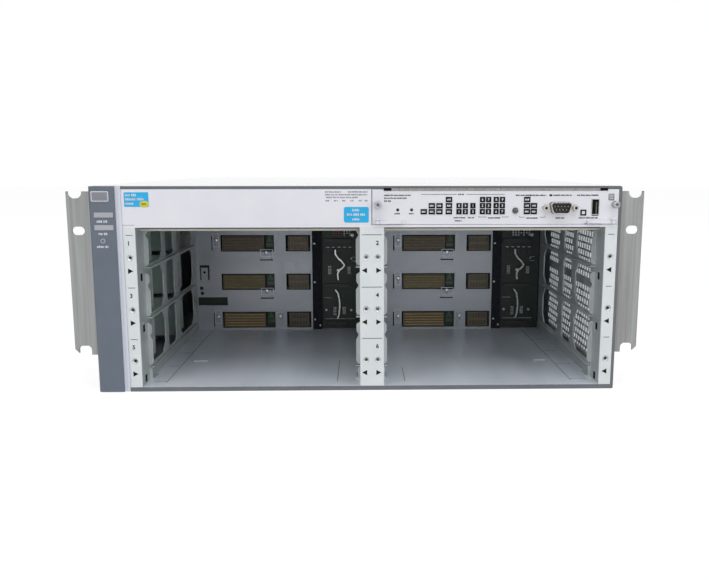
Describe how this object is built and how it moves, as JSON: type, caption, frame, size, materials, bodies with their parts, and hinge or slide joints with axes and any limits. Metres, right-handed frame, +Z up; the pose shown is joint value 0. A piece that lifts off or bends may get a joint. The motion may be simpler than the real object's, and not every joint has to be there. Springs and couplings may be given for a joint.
{
  "type": "modular chassis switch",
  "caption": "Rack-mount modular network switch chassis with empty module slots, a fitted management module, a side fan tray and a rear power supply.",
  "frame": {"origin": "middle of the footprint, on the surface that the chassis stands on", "axes": "+X to the right seen from the front, +Y from front to back, +Z up"},
  "size_m": [0.4826, 0.4728, 0.1753],
  "materials": {
    "cover_paint": "fine matt texture, dark blue-grey",
    "post_paint": "smooth satin light grey",
    "plated_steel": "satin zinc plate",
    "plated_bright": "galvanised, faint rolling grain",
    "bezel_plastic": "fine matt",
    "trim_silver": "satin silver",
    "lens_plastic": "frosted",
    "board_laminate": "solder mask, satin",
    "connector_plastic": "moulded matt",
    "seal_foam": "matt foam",
    "strap_steel": "bright spring steel",
    "fastener_steel": "bright zinc",
    "black_plastic": "satin black",
    "port_metal": "bright tin plate",
    "button_grey": "matt"
  },
  "bodies": {
    "chassis": {"base_pan": "cover_paint", "floor_plate": "plated_steel", "outer_cover": "cover_paint", "intake_vent_panel": "plated_steel", "exhaust_vent_panel": "plated_steel", "rear_panel": "plated_steel", "post_left": "post_paint", "post_centre": "post_paint", "post_right": "post_paint", "clinch_nuts": "fastener_steel", "left_guide_wall": "plated_steel", "right_guide_wall": "plated_steel", "centre_divider": "plated_steel", "management_shelf": "post_paint", "blank_panel": "post_paint", "upper_divider": "plated_steel", "back_plate_left": "plated_steel", "back_plate_right": "plated_steel", "backplane_board": "board_laminate", "data_connectors": "connector_plastic", "power_connectors": "connector_plastic", "management_socket": "connector_plastic", "air_seals": "seal_foam", "ground_straps": "strap_steel", "bezel": "bezel_plastic", "bezel_trim": "trim_silver", "bezel_lenses": "lens_plastic", "rack_ear_right": "plated_bright", "rack_ear_left": "plated_bright", "rack_ear_screws": "fastener_steel", "psu_blank_cover": "plated_steel"},
    "management_module": {"module_faceplate": "post_paint", "module_tray": "plated_steel", "module_board": "board_laminate", "module_plug": "connector_plastic", "serial_port_shell": "port_metal", "serial_port_insert": "black_plastic", "jack_screws": "fastener_steel", "usb_port": "port_metal", "led_windows": "black_plastic"},
    "fan_unit": {"fan_tray": "plated_steel", "fan_frames": "black_plastic"},
    "power_supply": {"psu_case": "plated_steel", "power_inlet": "black_plastic", "psu_handle": "black_plastic"},
    "captive_screw_left": {"captive_screw_left": "fastener_steel"},
    "captive_screw_right": {"captive_screw_right": "fastener_steel"},
    "ejector_left": {"ejector_left": "post_paint"},
    "ejector_right": {"ejector_right": "post_paint"},
    "reset_button": {"reset_button": "button_grey"},
    "clear_button": {"clear_button": "button_grey"},
    "mode_button": {"mode_button": "button_grey"},
    "impeller_1": {"impeller_1": "black_plastic"},
    "impeller_2": {"impeller_2": "black_plastic"},
    "impeller_3": {"impeller_3": "black_plastic"},
    "impeller_4": {"impeller_4": "black_plastic"},
    "impeller_5": {"impeller_5": "black_plastic"},
    "impeller_6": {"impeller_6": "black_plastic"},
    "fan_tray_screw": {"fan_tray_screw": "fastener_steel"},
    "psu_impeller": {"psu_impeller": "black_plastic"}
  },
  "joints": [
    {"name": "module_slide", "type": "slide", "parent": "chassis", "child": "management_module", "axis": [0, -1, 0], "range_m": [0, 0.24]},
    {"name": "captive_screw_left_turn", "type": "hinge", "parent": "management_module", "child": "captive_screw_left", "pos_m": [0.0169, -0.2331, 0.1598], "axis": [0, -1, 0], "range_deg": [0, 1440]},
    {"name": "captive_screw_right_turn", "type": "hinge", "parent": "management_module", "child": "captive_screw_right", "pos_m": [0.2161, -0.2331, 0.1598], "axis": [0, -1, 0], "range_deg": [0, 1440]},
    {"name": "ejector_left_pull", "type": "hinge", "parent": "management_module", "child": "ejector_left", "pos_m": [0.0165, -0.232, 0.1453], "axis": [0, 0, -1], "range_deg": [0, 60]},
    {"name": "ejector_right_pull", "type": "hinge", "parent": "management_module", "child": "ejector_right", "pos_m": [0.2151, -0.232, 0.1453], "axis": [0, 0, 1], "range_deg": [0, 60]},
    {"name": "reset_button_press", "type": "slide", "parent": "management_module", "child": "reset_button", "axis": [0, 1, 0], "range_m": [0, 0.001], "stiffness_N_per_m": 400},
    {"name": "clear_button_press", "type": "slide", "parent": "management_module", "child": "clear_button", "axis": [0, 1, 0], "range_m": [0, 0.001], "stiffness_N_per_m": 400},
    {"name": "mode_button_press", "type": "slide", "parent": "management_module", "child": "mode_button", "axis": [0, 1, 0], "range_m": [0, 0.001], "stiffness_N_per_m": 400},
    {"name": "fan_tray_slide", "type": "slide", "parent": "chassis", "child": "fan_unit", "axis": [0, 1, 0], "range_m": [0, 0.42]},
    {"name": "impeller_1_spin", "type": "hinge", "parent": "fan_unit", "child": "impeller_1", "pos_m": [-0.2051, -0.1781, 0.03645], "axis": [1, 0, 0], "continuous": true},
    {"name": "impeller_2_spin", "type": "hinge", "parent": "fan_unit", "child": "impeller_2", "pos_m": [-0.2051, -0.1781, 0.0809], "axis": [1, 0, 0], "continuous": true},
    {"name": "impeller_3_spin", "type": "hinge", "parent": "fan_unit", "child": "impeller_3", "pos_m": [-0.2051, -0.1781, 0.12535], "axis": [1, 0, 0], "continuous": true},
    {"name": "impeller_4_spin", "type": "hinge", "parent": "fan_unit", "child": "impeller_4", "pos_m": [-0.2051, -0.0621, 0.03645], "axis": [1, 0, 0], "continuous": true},
    {"name": "impeller_5_spin", "type": "hinge", "parent": "fan_unit", "child": "impeller_5", "pos_m": [-0.2051, -0.0621, 0.0809], "axis": [1, 0, 0], "continuous": true},
    {"name": "impeller_6_spin", "type": "hinge", "parent": "fan_unit", "child": "impeller_6", "pos_m": [-0.2051, -0.0621, 0.12535], "axis": [1, 0, 0], "continuous": true},
    {"name": "fan_tray_screw_turn", "type": "hinge", "parent": "fan_unit", "child": "fan_tray_screw", "pos_m": [-0.203, 0.2249, 0.16], "axis": [0, 1, 0], "range_deg": [0, 1440]},
    {"name": "power_supply_slide", "type": "slide", "parent": "chassis", "child": "power_supply", "axis": [0, 1, 0], "range_m": [0, 0.2]},
    {"name": "psu_impeller_spin", "type": "hinge", "parent": "power_supply", "child": "psu_impeller", "pos_m": [0.0714, 0.2149, 0.0461], "axis": [0, 1, 0], "continuous": true}
  ]
}
